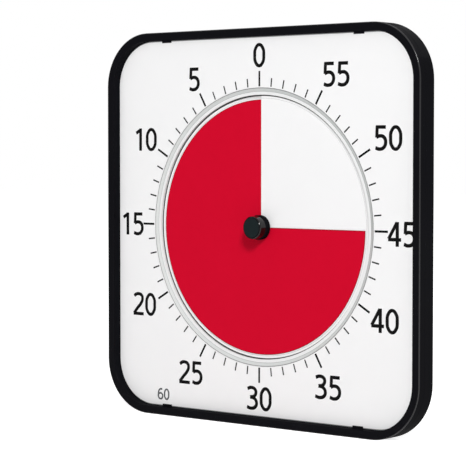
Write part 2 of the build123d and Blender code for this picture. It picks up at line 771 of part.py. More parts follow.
# ---------------------------------------------------------------- rear cover
with BuildPart() as rear_cover:
    cover_place = (0, cover_middle)
    with BuildSketch(face_at(casing_depth)):
        with Locations(cover_place):
            RectangleRounded(cover_width, cover_height, cover_corner)
    extrude(amount=casing_depth - cover_depth)
    fillet(rear_cover.faces().sort_by(Axis.Y)[-1].edges(), cover_round)
    with BuildSketch(face_at(casing_depth)):
        with Locations(cover_place):
            RectangleRounded(
                cover_width - 2 * cover_wall, cover_height - 2 * cover_wall, cover_corner - cover_wall
            )
    extrude(amount=casing_depth - cover_inner_depth, mode=Mode.SUBTRACT)
    # columns for the cover screws, each with a deep hole for the screw's head
    with BuildSketch(face_at(cover_boss_depth)):
        with Locations(*cover_spots):
            Circle(cover_column_radius)
    extrude(amount=cover_boss_depth - cover_inner_depth)
    head_seat = cover_boss_depth + cover_wall
    with BuildSketch(face_at(cover_boss_depth)):
        with Locations(*cover_spots):
            Circle(screw_radius + hole_gap)
    extrude(amount=-cover_wall, mode=Mode.SUBTRACT)
    with BuildSketch(face_at(head_seat)):
        with Locations(*cover_spots):
            Circle(screw_head_radius + hole_gap)
    extrude(amount=head_seat - cover_depth, mode=Mode.SUBTRACT)
    # cups for the magnets
    cup_depth = cover_depth + magnet_proud - magnet_thickness
    with BuildSketch(face_at(cover_inner_depth)):
        with Locations(*magnet_spots):
            Circle(magnet_radius + magnet_gap + magnet_cup_wall)
    extrude(amount=cover_inner_depth - cup_depth + magnet_cup_wall)
    with BuildSketch(face_at(cup_depth)):
        with Locations(*magnet_spots):
            Circle(magnet_radius + magnet_gap)
    extrude(amount=cup_depth - cover_depth, mode=Mode.SUBTRACT)
    # sunk pocket for the controls
    pocket_middle = (control_x, pocket_top - pocket_height / 2)
    with BuildSketch(face_at(pocket_floor_depth - cover_wall)):
        with Locations(pocket_middle):
            RectangleRounded(
                pocket_width + 2 * cover_wall, pocket_height + 2 * cover_wall, pocket_corner + cover_wall
            )
    extrude(amount=pocket_floor_depth - cover_wall - cover_inner_depth)
    with BuildSketch(face_at(pocket_floor_depth)):
        with Locations(pocket_middle):
            RectangleRounded(pocket_width, pocket_height, pocket_corner)
    extrude(amount=-pocket_sink, mode=Mode.SUBTRACT)
    with BuildSketch(face_at(pocket_floor_depth)):
        with Locations((control_x, duration_z), (control_x, volume_z)):
            Circle(stem_radius + stem_hole_gap)
        with Locations((control_x, alert_z)):
            Rectangle(
                lever_width + 2 * switch_slot_extra, lever_height + lever_travel + 2 * switch_slot_extra
            )
    extrude(amount=cover_wall, mode=Mode.SUBTRACT)
    # sound holes
    grille_spots = [(sounder_x, sounder_z)]
    for ring in range(1, grille_rings + 1):
        for number in range(grille_step * ring):
            turn = 2 * pi * number / (grille_step * ring)
            reach = ring * grille_pitch
            grille_spots.append((sounder_x + reach * cos(turn), sounder_z + reach * sin(turn)))
    with BuildSketch(face_at(cover_inner_depth)):
        with Locations(*grille_spots):
            Circle(grille_hole)
        # window in front of the keyhole plate
        with Locations((0, hanger_z + hanger_rise)):
            RectangleRounded(
                hanger_width - 2 * hanger_window_margin,
                hanger_height - 2 * hanger_window_margin,
                cover_wall,
            )
        # opening for the battery door, from the foot of its round hinge edge to its top
        door_open_height = door_height + barrel_radius + 2 * door_gap
        with Locations((0, door_bottom - barrel_radius - door_gap + door_open_height / 2)):
            Rectangle(door_width + 2 * door_gap, door_open_height)
    extrude(amount=-cover_wall, mode=Mode.SUBTRACT)
    # cheeks that hold the door's hinge pins
    cheek_middle = door_width / 2 + door_gap + door_cheek / 2
    with BuildSketch(face_at(barrel_axis_depth - barrel_radius)):
        with Locations((-cheek_middle, door_bottom), (cheek_middle, door_bottom)):
            Rectangle(door_cheek, 2 * barrel_radius)
    extrude(amount=-(barrel_radius + barrel_radius - cover_wall))
    with BuildSketch(Plane.YZ.offset(-cheek_middle - door_cheek / 2)):
        with Locations((barrel_axis_depth, dial_height + door_bottom)):
            Circle(door_pin_radius + running_gap)
    extrude(amount=2 * cheek_middle + door_cheek, mode=Mode.SUBTRACT)
save(rear_cover, "rear_cover")

# ---------------------------------------------------------------- battery door, hinged along its lower edge
with BuildPart() as battery_door:
    with BuildSketch(Plane.YZ.offset(-door_width / 2)):
        with Locations((barrel_axis_depth, dial_height + door_bottom)):
            Circle(barrel_radius)
        with Locations((cover_depth - cover_wall / 2, dial_height + tray_middle)):
            Rectangle(cover_wall, door_height)
    extrude(amount=door_width)
    with BuildSketch(Plane.YZ.offset(-door_width / 2 - door_pin_length)):
        with Locations((barrel_axis_depth, dial_height + door_bottom)):
            Circle(door_pin_radius)
    extrude(amount=door_width + 2 * door_pin_length)
    with BuildSketch(face_at(cover_depth)):
        for number in range(door_grip_count):
            height = door_bottom + door_height - door_grip_inset - number * door_grip_pitch
            with Locations((0, height)):
                SlotOverall(door_grip_width, door_grip_pitch / 2)
    extrude(amount=door_grip_depth, mode=Mode.SUBTRACT)
save(battery_door, "battery_door")

# ---------------------------------------------------------------- magnets and wall hanger
with BuildPart() as magnets:
    with BuildSketch(face_at(cup_depth)):
        with Locations(*magnet_spots):
            Circle(magnet_radius)
    extrude(amount=-magnet_thickness)
save(magnets, "magnets")

with BuildPart() as wall_hanger:
    with BuildSketch(face_at(cover_inner_depth)):
        with Locations((0, hanger_z + hanger_rise)):
            RectangleRounded(hanger_width, hanger_height, cover_wall)
        with Locations((0, hanger_z)):
            Circle(keyhole_radius, mode=Mode.SUBTRACT)
        with Locations((0, hanger_z + keyslot_length)):
            Circle(keyslot_radius, mode=Mode.SUBTRACT)
        with Locations((0, hanger_z + keyslot_length / 2)):
            Rectangle(2 * keyslot_radius, keyslot_length, mode=Mode.SUBTRACT)
    extrude(amount=hanger_thickness)
save(wall_hanger, "wall_hanger")

# ---------------------------------------------------------------- drive case
with BuildPart() as drive_base:
    with BuildSketch(face_at(casing_depth)):
        with Locations((drive_middle_x, drive_middle_z)):
            RectangleRounded(flange_width, drive_height, drive_corner)
    extrude(amount=-flange_thickness)
    with BuildSketch(face_at(casing_depth)):
        with Locations((drive_middle_x, drive_middle_z)):
            RectangleRounded(drive_width, drive_height, drive_corner)
            RectangleRounded(
                drive_width - 2 * drive_wall,
                drive_height - 2 * drive_wall,
                drive_corner - drive_wall,
                mode=Mode.SUBTRACT,
            )
    extrude(amount=casing_depth - drive_split_depth)
    with BuildSketch(face_at(casing_depth)):
        Circle(tube_radius)
    extrude(amount=casing_depth - tube_front_depth)
    with BuildSketch(face_at(base_floor)):
        with Locations(idler_spot):
            Circle(idler_boss_radius)
    extrude(amount=-idler_boss_height)
    with BuildSketch(face_at(base_floor)):
        Circle(bush_radius + seat_gap)
    extrude(amount=base_floor - tube_front_depth, mode=Mode.SUBTRACT)
    with BuildSketch(face_at(base_floor + idler_boss_height)):
        with Locations(idler_spot):
            Circle(idler_pin_radius + seat_gap)
    extrude(amount=flange_thickness, mode=Mode.SUBTRACT)
    with BuildSketch(face_at(base_floor)):
        with Locations(*drive_spots):
            Circle(screw_radius + hole_gap)
    extrude(amount=flange_thickness, mode=Mode.SUBTRACT)
save(drive_base, "drive_base")

with BuildPart() as drive_lid:
    with BuildSketch(face_at(drive_split_depth)):
        with Locations((drive_middle_x, drive_middle_z)):
            RectangleRounded(drive_width, drive_height, drive_corner)
    extrude(amount=drive_split_depth - drive_rear_depth)
    with BuildSketch(face_at(drive_split_depth)):
        with Locations((drive_middle_x, drive_middle_z)):
            RectangleRounded(
                drive_width - 2 * drive_wall, drive_height - 2 * drive_wall, drive_corner - drive_wall
            )
    extrude(amount=drive_split_depth - lid_inner_depth, mode=Mode.SUBTRACT)
    with BuildSketch(face_at(lid_inner_depth)):
        Circle(clutch_collar_radius)
        with Locations(pinion_spot):
            Circle(motor_radius + motor_ring_gap + motor_ring_wall)
            Circle(motor_radius + motor_ring_gap, mode=Mode.SUBTRACT)
    extrude(amount=motor_ring_height)
    with BuildSketch(face_at(lid_inner_depth)):
        Circle(journal_radius + running_gap)
    extrude(amount=motor_ring_height, mode=Mode.SUBTRACT)
    with BuildSketch(Plane.YZ.offset(drive_middle_x - drive_width / 2)):
        with Locations((motor_front_depth + motor_lead_rise, dial_height + idler_distance)):
            Circle(lead_radius + lead_hole_gap)
    extrude(amount=drive_wall, mode=Mode.SUBTRACT)
save(drive_lid, "drive_lid")

# ---------------------------------------------------------------- wheels of the drive
with BuildPart() as centre_wheel:
    with BuildSketch(face_at(gear_front_depth)):
        wheel_profile(centre_teeth)
        Circle(spindle_radius + seat_gap, mode=Mode.SUBTRACT)
    extrude(amount=-gear_thickness)
save(centre_wheel, "centre_wheel")

with BuildPart() as clutch_spring:
    with BuildSketch(face_at(gear_rear_depth)):
        Circle(clutch_collar_radius)
        with PolarLocations(clutch_radius - clutch_arm_width / 2, clutch_arms):
            Rectangle(clutch_radius, clutch_arm_width)
        Circle(spindle_radius + seat_gap, mode=Mode.SUBTRACT)
    extrude(amount=-clutch_leaf)
save(clutch_spring, "clutch_spring")

with BuildPart() as clutch_collar:
    collar_front = gear_rear_depth + clutch_leaf
    turned(
        (spindle_radius + seat_gap, collar_front),
        (clutch_collar_radius, collar_front),
        (clutch_collar_radius, collar_front + clutch_collar_thickness),
        (spindle_radius + seat_gap, collar_front + clutch_collar_thickness),
    )
save(clutch_collar, "clutch_collar")

with BuildPart() as idler_wheel:
    with BuildSketch(face_at(gear_front_depth)):
        with Locations(Location((*idler_spot, 0), (0, 0, full_turn / idler_teeth / 2))):
            wheel_profile(idler_teeth)
            Circle(idler_pin_radius + running_gap, mode=Mode.SUBTRACT)
    extrude(amount=-gear_thickness)
    with BuildSketch(face_at(idler_hub_front)):
        with Locations(idler_spot):
            Circle(idler_hub_radius)
            Circle(idler_pin_radius + running_gap, mode=Mode.SUBTRACT)
    extrude(amount=-idler_hub_length)
save(idler_wheel, "idler_wheel")

with BuildPart() as idler_pin:
    pin_front = base_floor + idler_boss_height - flange_thickness
    with BuildSketch(face_at(pin_front)):
        with Locations(idler_spot):
            Circle(idler_pin_radius)
    extrude(amount=pin_front - idler_pin_depth)
save(idler_pin, "idler_pin")

with BuildPart() as motor_pinion:
    with BuildSketch(face_at(gear_front_depth)):
        with Locations(pinion_spot):
            wheel_profile(pinion_teeth)
    extrude(amount=-gear_thickness)
    with BuildSketch(face_at(motor_shaft_front)):
        with Locations(pinion_spot):
            Circle(motor_shaft_radius)
    extrude(amount=motor_shaft_front - motor_front_depth - motor_shaft_bore + control_gap)
save(motor_pinion, "motor_pinion")

with BuildPart() as drive_motor:
    with BuildSketch(face_at(motor_front_depth)):
        with Locations(pinion_spot):
            Circle(motor_radius)
    extrude(amount=motor_front_depth - lid_inner_depth)
    with BuildSketch(face_at(motor_front_depth)):
        with Locations(pinion_spot):
            Circle(motor_shaft_radius + running_gap)
    extrude(amount=-motor_shaft_bore, mode=Mode.SUBTRACT)
save(drive_motor, "drive_motor")

# ---------------------------------------------------------------- circuit board and controls
with BuildPart() as circuit_board:
    with BuildSketch(face_at(board_front_depth)):
        board_middle = ((board_left + board_right) / 2, (board_bottom + board_top) / 2)
        with Locations(board_middle):
            Rectangle(board_right - board_left, board_top - board_bottom)
        with Locations(*board_spots):
            Circle(screw_radius + hole_gap, mode=Mode.SUBTRACT)
    extrude(amount=-board_thickness)
save(circuit_board, "circuit_board")


def square_switch(side, height):
    """Add a rotary switch body with a round hole for its stem."""
    with BuildSketch(face_at(board_rear_depth)) as body:
        with Locations((control_x, height)):
            Rectangle(side, side)
    extrude(body.sketch, amount=board_rear_depth - switch_rear_depth)
    with BuildSketch(face_at(switch_rear_depth)) as stem_hole:
        with Locations((control_x, height)):
            Circle(stem_radius + running_gap)
    extrude(stem_hole.sketch, amount=stem_reach + control_gap, mode=Mode.SUBTRACT)


def turning_knob(radius, height):
    """Add a small gripped knob on a stem, sunk in the control pocket."""
    spot = (control_x, height)
    knob_front = pocket_floor_depth + control_gap
    with BuildSketch(face_at(knob_front)) as head:
        with Locations(spot):
            Circle(radius)
            with PolarLocations(radius, grip_count):
                Circle(grip_radius, mode=Mode.SUBTRACT)
    extrude(head.sketch, amount=-dial_knob_height)
    with BuildSketch(face_at(knob_front + dial_knob_height)) as pointer:
        with Locations((spot[0], spot[1] + radius / 2)):
            SlotOverall(radius - 2 * pointer_width, pointer_width, rotation=90)
    extrude(pointer.sketch, amount=pointer_sink, mode=Mode.SUBTRACT)
    with BuildSketch(face_at(knob_front)) as stem:
        with Locations(spot):
            Circle(stem_radius)
    extrude(stem.sketch, amount=knob_front - switch_rear_depth + stem_reach)


with BuildPart() as selector_switch:
    square_switch(selector_side, duration_z)
save(selector_switch, "selector_switch")

with BuildPart() as volume_pot:
    square_switch(pot_side, volume_z)
save(volume_pot, "volume_pot")

with BuildPart() as duration_knob:
    turning_knob(duration_radius, duration_z)
save(duration_knob, "duration_knob")

with BuildPart() as volume_knob:
    turning_knob(volume_radius, volume_z)
save(volume_knob, "volume_knob")

lever_front = board_rear_depth + switch_body_depth - lever_foot
with BuildPart() as alert_switch:
    with BuildSketch(face_at(board_rear_depth)):
        with Locations((control_x, alert_z)):
            Rectangle(switch_width, switch_height)
    extrude(amount=-switch_body_depth)
    with BuildSketch(face_at(board_rear_depth + switch_body_depth)):
        with Locations((control_x, alert_z)):
            Rectangle(
                lever_width + 2 * control_gap, lever_height + lever_travel + 2 * control_gap
            )
    extrude(amount=lever_foot + control_gap, mode=Mode.SUBTRACT)
save(alert_switch, "alert_switch")

with BuildPart() as alert_lever:
    with BuildSketch(face_at(lever_front)):
        with Locations((control_x, alert_z - lever_travel / 2)):
            Rectangle(lever_width, lever_height)
    extrude(amount=lever_front - pocket_floor_depth - lever_rise)
save(alert_lever, "alert_lever")

with BuildPart() as timer_chip:
    with BuildSketch(face_at(board_rear_depth)):
        with Locations((board_left + chip_inset, board_bottom + chip_rise)):
            Rectangle(chip_side, chip_side)
    extrude(amount=-chip_height)
save(timer_chip, "timer_chip")

with BuildPart() as crystal:
    with BuildSketch(face_at(board_rear_depth)):
        with Locations((board_left + chip_inset, board_bottom + crystal_rise)):
            SlotOverall(crystal_length, crystal_width)
    extrude(amount=-crystal_width)
save(crystal, "crystal")

with BuildPart() as capacitor:
    with BuildSketch(face_at(board_rear_depth)):
        with Locations((board_left + chip_inset, board_bottom + capacitor_rise)):
            Circle(capacitor_radius)
    extrude(amount=-capacitor_height)
save(capacitor, "capacitor")

# ---------------------------------------------------------------- sounder
with BuildPart() as sounder:
    with BuildSketch(face_at(cover_inner_depth)):
        with Locations((sounder_x, sounder_z)):
            Circle(sounder_radius)
    extrude(amount=sounder_height)
    with BuildSketch(face_at(cover_inner_depth)):
        with Locations((sounder_x, sounder_z)):
            Circle(sounder_bore)
    extrude(amount=sounder_height / 2, mode=Mode.SUBTRACT)
save(sounder, "sounder")

# ---------------------------------------------------------------- batteries
tray_spot = (0, tray_middle)
with BuildPart() as battery_tray:
    with BuildSketch(face_at(casing_depth)):
        with Locations(tray_spot):
            Rectangle(tray_width, tray_height)
    extrude(amount=casing_depth - tray_rear_depth)
    with BuildSketch(face_at(casing_depth + tray_wall)):
        with Locations(tray_spot):
            Rectangle(tray_width - 2 * tray_wall, tray_inner_height)
    extrude(amount=casing_depth + tray_wall - tray_rear_depth, mode=Mode.SUBTRACT)
save(battery_tray, "battery_tray")

cell_columns = [cell_pitch * (number - (cell_count - 1) / 2) for number in range(cell_count)]
flat_end = tray_inner_height / 2 - contact_thickness - cell_end_gap
cell_plane_height = dial_height + tray_middle
with BuildPart() as battery_cells:
    for number, x in enumerate(cell_columns):
        up = 1 if number % 2 == 0 else -1
        nub_tip = cell_plane_height + up * flat_end
        can_end = nub_tip - up * cell_nub_height
        can_start = can_end - up * cell_length
        with BuildSketch(Plane.XY.offset(min(can_start, can_end))):
            with Locations((x, cell_depth)):
                Circle(cell_radius)
        extrude(amount=cell_length)
        with BuildSketch(Plane.XY.offset(min(can_end, nub_tip))):
            with Locations((x, cell_depth)):
                Circle(cell_nub_radius)
        extrude(amount=cell_nub_height)
save(battery_cells, "battery_cells")

with BuildPart() as battery_contacts:
    for x in cell_columns:
        for up in (-1, 1):
            outer = cell_plane_height + up * tray_inner_height / 2
            inner = outer - up * contact_thickness
            with BuildSketch(Plane.XY.offset(min(outer, inner))):
                with Locations((x, cell_depth)):
                    Rectangle(contact_width, contact_height)
            extrude(amount=contact_thickness)
save(battery_contacts, "battery_contacts")

with BuildPart() as battery_springs:
    for number, x in enumerate(cell_columns):
        up = -1 if number % 2 == 0 else 1
        seat = cell_plane_height + up * (tray_inner_height / 2 - contact_thickness)
        tip = seat - up * (spring_length - contact_thickness)
        with BuildSketch(Plane.YZ.offset(x - spring_rise / 2)):
            with BuildLine():
                leaf = Polyline(
                    (cell_depth - spring_rise, seat - up * contact_thickness / 2),
                    (cell_depth + spring_rise, seat - up * contact_thickness / 2),
                    (cell_depth - spring_rise / 2, (seat + tip) / 2),
                    (cell_depth + spring_rise, tip + up * contact_thickness / 2),
                    (cell_depth - spring_rise / 2, tip + up * contact_thickness / 2),
                )
            trace(leaf, contact_thickness)
        extrude(amount=spring_rise)
save(battery_springs, "battery_springs")

# ---------------------------------------------------------------- leads
battery_lead_depth = casing_depth + battery_lead_rise
battery_lead_x = board_right - battery_lead_inset
battery_lead_z = dial_height + tray_middle + battery_lead_exit
battery_lead_top = dial_height + board_bottom + battery_lead_end
motor_lead_depth = motor_front_depth + motor_lead_rise
motor_lead_x = board_right - motor_lead_inset
motor_lead_z = dial_height + idler_distance
motor_side = pinion_distance - motor_radius
sounder_face = cover_inner_depth - sounder_height
sounder_exit = dial_height + sounder_z + sounder_lead_exit
sounder_lead_depth = board_rear_depth + sounder_lead_rise
sounder_lead_x = board_right - sounder_lead_inset
sounder_lead_z = dial_height + drive_middle_z + drive_height / 2 + sounder_lead_gap
lead_routes = {
    "battery_lead": (
        (-tray_width / 2, battery_lead_depth, battery_lead_z),
        (battery_lead_x, battery_lead_depth, battery_lead_z),
        (battery_lead_x, battery_lead_depth, battery_lead_top),
        (battery_lead_x, board_front_depth, battery_lead_top),
    ),
    "motor_lead": (
        (motor_side, motor_lead_depth, motor_lead_z),
        (motor_lead_x, motor_lead_depth, motor_lead_z),
        (motor_lead_x, board_rear_depth, motor_lead_z),
    ),
    "sounder_lead": (
        (sounder_x, sounder_face, sounder_exit),
        (sounder_x, sounder_lead_depth, sounder_exit),
        (sounder_x, sounder_lead_depth, sounder_lead_z),
        (sounder_lead_x, sounder_lead_depth, sounder_lead_z),
        (sounder_lead_x, board_rear_depth, sounder_lead_z),
    ),
}
for lead_name, route in lead_routes.items():
    bends = [lead_bend] * (len(route) - 2)
    bends[-1] = lead_end_bend
    if lead_name == "sounder_lead":
        bends[0] = lead_end_bend
    with BuildPart() as lead:
        with BuildLine() as path:
            FilletPolyline(*route, radius=bends)
        with BuildSketch(Plane(origin=route[0], z_dir=Vector(*route[1]) - Vector(*route[0]))):
            Circle(lead_radius)
        sweep(path=path.line)
    save(lead, lead_name)

# ---------------------------------------------------------------- feet
for name, side in (("left", -1), ("right", 1)):
    with BuildPart() as foot:
        with BuildSketch(Plane.YZ.offset(side * foot_place - foot_width / 2)):
            with BuildLine():
                Polyline(
                    (pivot_depth, barrel_bottom),
                    (pivot_depth + foot_step, barrel_bottom),
                    (pivot_depth + foot_step + foot_step_length, pad_thickness),
                    (pivot_depth + foot_length, pad_thickness),
                    (pivot_depth + foot_length, pad_thickness + foot_tail_height),
                    (pivot_depth + foot_step + foot_step_length, barrel_bottom + barrel_height),
                    (pivot_depth, barrel_bottom + barrel_height),
                    close=True,
                )
            make_face()
        extrude(amount=foot_width)
        fillet(foot.edges().filter_by(Axis.Z).group_by(Axis.Y)[-1], foot_end_round)
        with BuildSketch(Plane.XY.offset(barrel_bottom)):
            with Locations((side * foot_place, pivot_depth)):
                Circle(foot_barrel_radius)
        extrude(amount=barrel_height)
        with BuildSketch(Plane.XY.offset(barrel_bottom)):
            with Locations((side * foot_place, pivot_depth)):
                Circle(foot_pin_radius + running_gap)
        extrude(amount=barrel_height, mode=Mode.SUBTRACT)
    save(foot, f"foot_{name}")

    with BuildPart() as pad:
        with BuildSketch(Plane.XY):
            with Locations((side * foot_place, pivot_depth + foot_length - pad_inset - pad_length / 2)):
                RectangleRounded(foot_width, pad_length, foot_end_round)
        extrude(amount=pad_thickness)
    save(pad, f"foot_pad_{name}")

with BuildPart() as foot_pins:
    with BuildSketch(Plane.XY.offset(ear_heights[0])):
        with Locations((-foot_place, pivot_depth), (foot_place, pivot_depth)):
            Circle(foot_pin_radius)
    extrude(amount=ear_heights[1] + ear_thickness - ear_heights[0])
save(foot_pins, "foot_pins")

# ---------------------------------------------------------------- screws
with BuildPart() as panel_screws:
    add_screws(panel_spots, casing_depth, floor_thickness + panel_screw_grip)
save(panel_screws, "panel_screws")

with BuildPart() as cover_screws:
    add_screws(cover_spots, cover_boss_depth + cover_wall, cover_wall + cover_screw_grip)
save(cover_screws, "cover_screws")

with BuildPart() as drive_screws:
    add_screws(drive_spots, base_floor, flange_thickness + drive_screw_grip)
save(drive_screws, "drive_screws")

with BuildPart() as board_screws:
    add_screws(board_spots, board_rear_depth, board_thickness + board_screw_grip)
save(board_screws, "board_screws")
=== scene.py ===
from math import cos, pi, radians, sin

import bmesh
import bpy
from mathutils import Matrix, Vector


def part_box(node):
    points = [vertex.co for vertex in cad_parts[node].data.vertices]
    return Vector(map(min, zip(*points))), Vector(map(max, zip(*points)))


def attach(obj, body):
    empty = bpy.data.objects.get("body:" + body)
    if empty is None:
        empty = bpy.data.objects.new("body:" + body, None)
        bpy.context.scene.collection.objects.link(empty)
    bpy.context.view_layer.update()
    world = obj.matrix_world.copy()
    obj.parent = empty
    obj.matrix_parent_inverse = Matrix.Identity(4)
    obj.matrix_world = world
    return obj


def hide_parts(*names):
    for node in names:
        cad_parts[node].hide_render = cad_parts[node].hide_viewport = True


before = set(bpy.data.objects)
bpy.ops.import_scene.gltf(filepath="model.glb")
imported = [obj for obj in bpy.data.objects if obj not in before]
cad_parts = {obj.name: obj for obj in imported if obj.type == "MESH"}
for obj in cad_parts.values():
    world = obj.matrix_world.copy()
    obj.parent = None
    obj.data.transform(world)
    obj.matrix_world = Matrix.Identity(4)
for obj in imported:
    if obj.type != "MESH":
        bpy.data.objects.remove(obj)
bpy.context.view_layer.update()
MM = 0.001

# ---------------------------------------------------------------- black frame
# The frame is two injection-moulded halves of black ABS: the bezel round the card and the rear casing,
# which meet in a fine seam round the side. The mould is polished, so the plastic has a thin clear skin.
dial_middle = Vector((0, 0, 216 * MM))
frame_half = 216 * MM
frame_corner = 60 * MM
lip_front = -10.2 * MM
edge_round = 1.0 * MM
skin_weight = 0.05
buffed_weight = 0.8


def surface(
    name, light, dark, rough, drift=40 * MM, grain=0.5 * MM, lift=4e-6, metal=0.0, gloss=0.5
):
    """A finish that drifts slowly between two tones, with uneven gloss and a fine grain."""
    finish = bpy.data.materials.new(name)
    finish.use_nodes = True
    nodes = finish.node_tree.nodes
    links = finish.node_tree.links
    shader = nodes["Principled BSDF"]
    shader.inputs["Metallic"].default_value = metal
    shader.inputs["Specular IOR Level"].default_value = gloss
    place = nodes.new("ShaderNodeTexCoord")
    place.name = "place"
    slow = nodes.new("ShaderNodeTexNoise")
    slow.inputs["Scale"].default_value = 1 / drift
    slow.inputs["Detail"].default_value = 4
    fine = nodes.new("ShaderNodeTexNoise")
    fine.inputs["Scale"].default_value = 1 / grain
    fine.inputs["Detail"].default_value = 2
    for noise in (slow, fine):
        links.new(place.outputs["Object"], noise.inputs["Vector"])
    tone = nodes.new("ShaderNodeMix")
    tone.data_type = "RGBA"
    tone.inputs["A"].default_value = (*dark, 1)
    tone.inputs["B"].default_value = (*light, 1)
    links.new(slow.outputs["Fac"], tone.inputs["Factor"])
    links.new(tone.outputs["Result"], shader.inputs["Base Color"])
    polish = nodes.new("ShaderNodeMapRange")
    polish.name = "polish"
    polish.inputs["To Min"].default_value = rough[0]
    polish.inputs["To Max"].default_value = rough[1]
    links.new(slow.outputs["Fac"], polish.inputs["Value"])
    links.new(polish.outputs["Result"], shader.inputs["Roughness"])
    bump = nodes.new("ShaderNodeBump")
    bump.name = "bump"
    bump.inputs["Distance"].default_value = lift
    links.new(fine.outputs["Fac"], bump.inputs["Height"])
    links.new(bump.outputs["Normal"], shader.inputs["Normal"])
    return finish


def dress(finish, *names):
    """Give solids of the frame this finish."""
    for name in names:
        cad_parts[name].material_slots[0].material = finish


def setting(finish, name, step="Principled BSDF"):
    """One setting of a finish."""
    return finish.node_tree.nodes[step].inputs[name]


def settle(where, value):
    """Fix a setting at a value, or let what another step makes drive it."""
    if isinstance(value, bpy.types.NodeSocket):
        where.id_data.links.new(value, where)
    else:
        where.default_value = value


def along_axis(finish, axis):
    """How far along an axis a spot of the object lies."""
    parts = finish.node_tree.nodes.new("ShaderNodeSeparateXYZ")
    settle(parts.inputs["Vector"], finish.node_tree.nodes["place"].outputs["Object"])
    return parts.outputs[axis]


def distance(finish, *steps):
    """Take a spot's place through steps of vector arithmetic, and give the length of what comes out."""
    reached = finish.node_tree.nodes["place"].outputs["Object"]
    for operation, *second in (*steps, ("LENGTH",)):
        step = finish.node_tree.nodes.new("ShaderNodeVectorMath")
        step.operation = operation
        settle(step.inputs[0], reached)
        if second:
            settle(step.inputs[1], second[0])
        reached = step.outputs["Value" if operation == "LENGTH" else "Vector"]
    return reached


def reckon(finish, operation, *values):
    """Do arithmetic on numbers and on what other steps of a finish make."""
    step = finish.node_tree.nodes.new("ShaderNodeMath")
    step.operation = operation
    for where, value in zip(step.inputs, values):
        settle(where, value)
    return step.outputs["Value"]


def ranged(finish, value, low, high):
    """Go from low to high as a value goes from 0 to 1."""
    step = finish.node_tree.nodes.new("ShaderNodeMapRange")
    settle(step.inputs["To Min"], low)
    settle(step.inputs["To Max"], high)
    settle(step.inputs["Value"], value)
    return step.outputs["Result"]


def repaint(finish, over, share=1, kind="MIX"):
    """Lay a tone over the colour that a finish has so far."""
    colour = setting(finish, "Base Color")
    step = finish.node_tree.nodes.new("ShaderNodeMix")
    step.data_type = "RGBA"
    step.blend_type = kind
    settle(step.inputs["Factor"], share)
    settle(step.inputs["A"], colour.links[0].from_socket)
    settle(step.inputs["B"], over)
    settle(colour, step.outputs["Result"])


def moulded_black(name, skin_rough):
    """The frame's black plastic with its clear skin."""
    finish = surface(name, (0.005, 0.005, 0.0068), (0.004, 0.004, 0.0054), (0.15, 0.25), gloss=0.0)
    settle(setting(finish, "Coat Weight"), skin_weight)
    settle(setting(finish, "Coat Roughness"), skin_rough)
    settle(setting(finish, "Coat Normal"), finish.node_tree.nodes["bump"].outputs["Normal"])
    return finish


# The bezel's outer front edge is rounded, and buffed to a higher gloss than the rest.
bezel_black = moulded_black("bezel_black", 0.15)
straight = frame_half - frame_corner
from_corner = distance(
    bezel_black, ("SUBTRACT", dial_middle), ("ABSOLUTE",), ("SUBTRACT", (straight, 0, straight)),
    ("MAXIMUM", (0, 0, 0)), ("MULTIPLY", (1, 0, 1)),
)
at_outline = reckon(bezel_black, "GREATER_THAN", from_corner, frame_corner - edge_round)
at_front = reckon(bezel_black, "LESS_THAN", along_axis(bezel_black, "Y"), lip_front + edge_round)
on_edge = reckon(bezel_black, "MULTIPLY", at_outline, at_front)
settle(setting(bezel_black, "Coat Weight"), ranged(bezel_black, on_edge, skin_weight, buffed_weight))
dress(bezel_black, "bezel")

# The casing is the same plastic, but its flat back is spark eroded to a fine dull grain.
casing_rear = 15.9 * MM
back_margin = 1.0 * MM
mould_grain = 4e-6
eroded_grain = 2e-5
eroded_roughness = 0.26
casing_black = moulded_black("casing_black", 0.1)
on_back = reckon(casing_black, "GREATER_THAN", along_axis(casing_black, "Y"), casing_rear - back_margin)
repaint(casing_black, (0.034, 0.0345, 0.038, 1), on_back)
polished = casing_black.node_tree.nodes["polish"].outputs["Result"]
dulled = reckon(casing_black, "ADD", polished, ranged(casing_black, on_back, 0.0, eroded_roughness))
settle(setting(casing_black, "Roughness"), dulled)
grain_lift = ranged(casing_black, on_back, mould_grain, eroded_grain)
settle(setting(casing_black, "Distance", "bump"), grain_lift)
dress(casing_black, "rear_casing")

# ---------------------------------------------------------------- card
# The face is a sheet of white coated card, die cut round the dial and held by four tabs of the bezel.
# Its ink is printed flat: sixty minute marks, the twelve numbers and a small grey 60 for the full turn.
card_white = surface(
    "card_white", (0.9, 0.9, 0.903), (0.888, 0.888, 0.892), (0.5, 0.6),
    drift=60 * MM, grain=0.25 * MM, lift=1.5e-6, gloss=0.1,
)
dress(card_white, "face_card")


def printing(name, colour):
    """Ink on card: nearly even, with the slight mottle of a large solid."""
    lighter = [channel * 1.25 + 0.001 for channel in colour]
    return surface(
        name, lighter, colour, (0.5, 0.6), drift=3 * MM, grain=0.2 * MM, lift=1e-6, gloss=0.06
    )


black_ink = printing("black_ink", (0.0014, 0.0013, 0.0015))
grey_ink = printing("grey_ink", (0.115, 0.12, 0.125))
ink_front = -0.04 * MM
ink_rear = 0.01 * MM
ink_middle = (ink_front + ink_rear) / 2
ink_depth = ink_rear - ink_front


def piece(name, mesh, finish, body="root"):
    """Put a finished mesh on the object, with its finish, riding on a body of the frame."""
    thing = bpy.data.objects.new(name, mesh)
    bpy.context.scene.collection.objects.link(thing)
    mesh.materials.append(finish)
    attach(thing, body)
    return thing


def keep(shape, name):
    """Turn a bmesh into a mesh, with its faces pointing outwards."""
    bmesh.ops.recalc_face_normals(shape, faces=shape.faces)
    mesh = bpy.data.meshes.new(name)
    shape.to_mesh(mesh)
    shape.free()
    return mesh


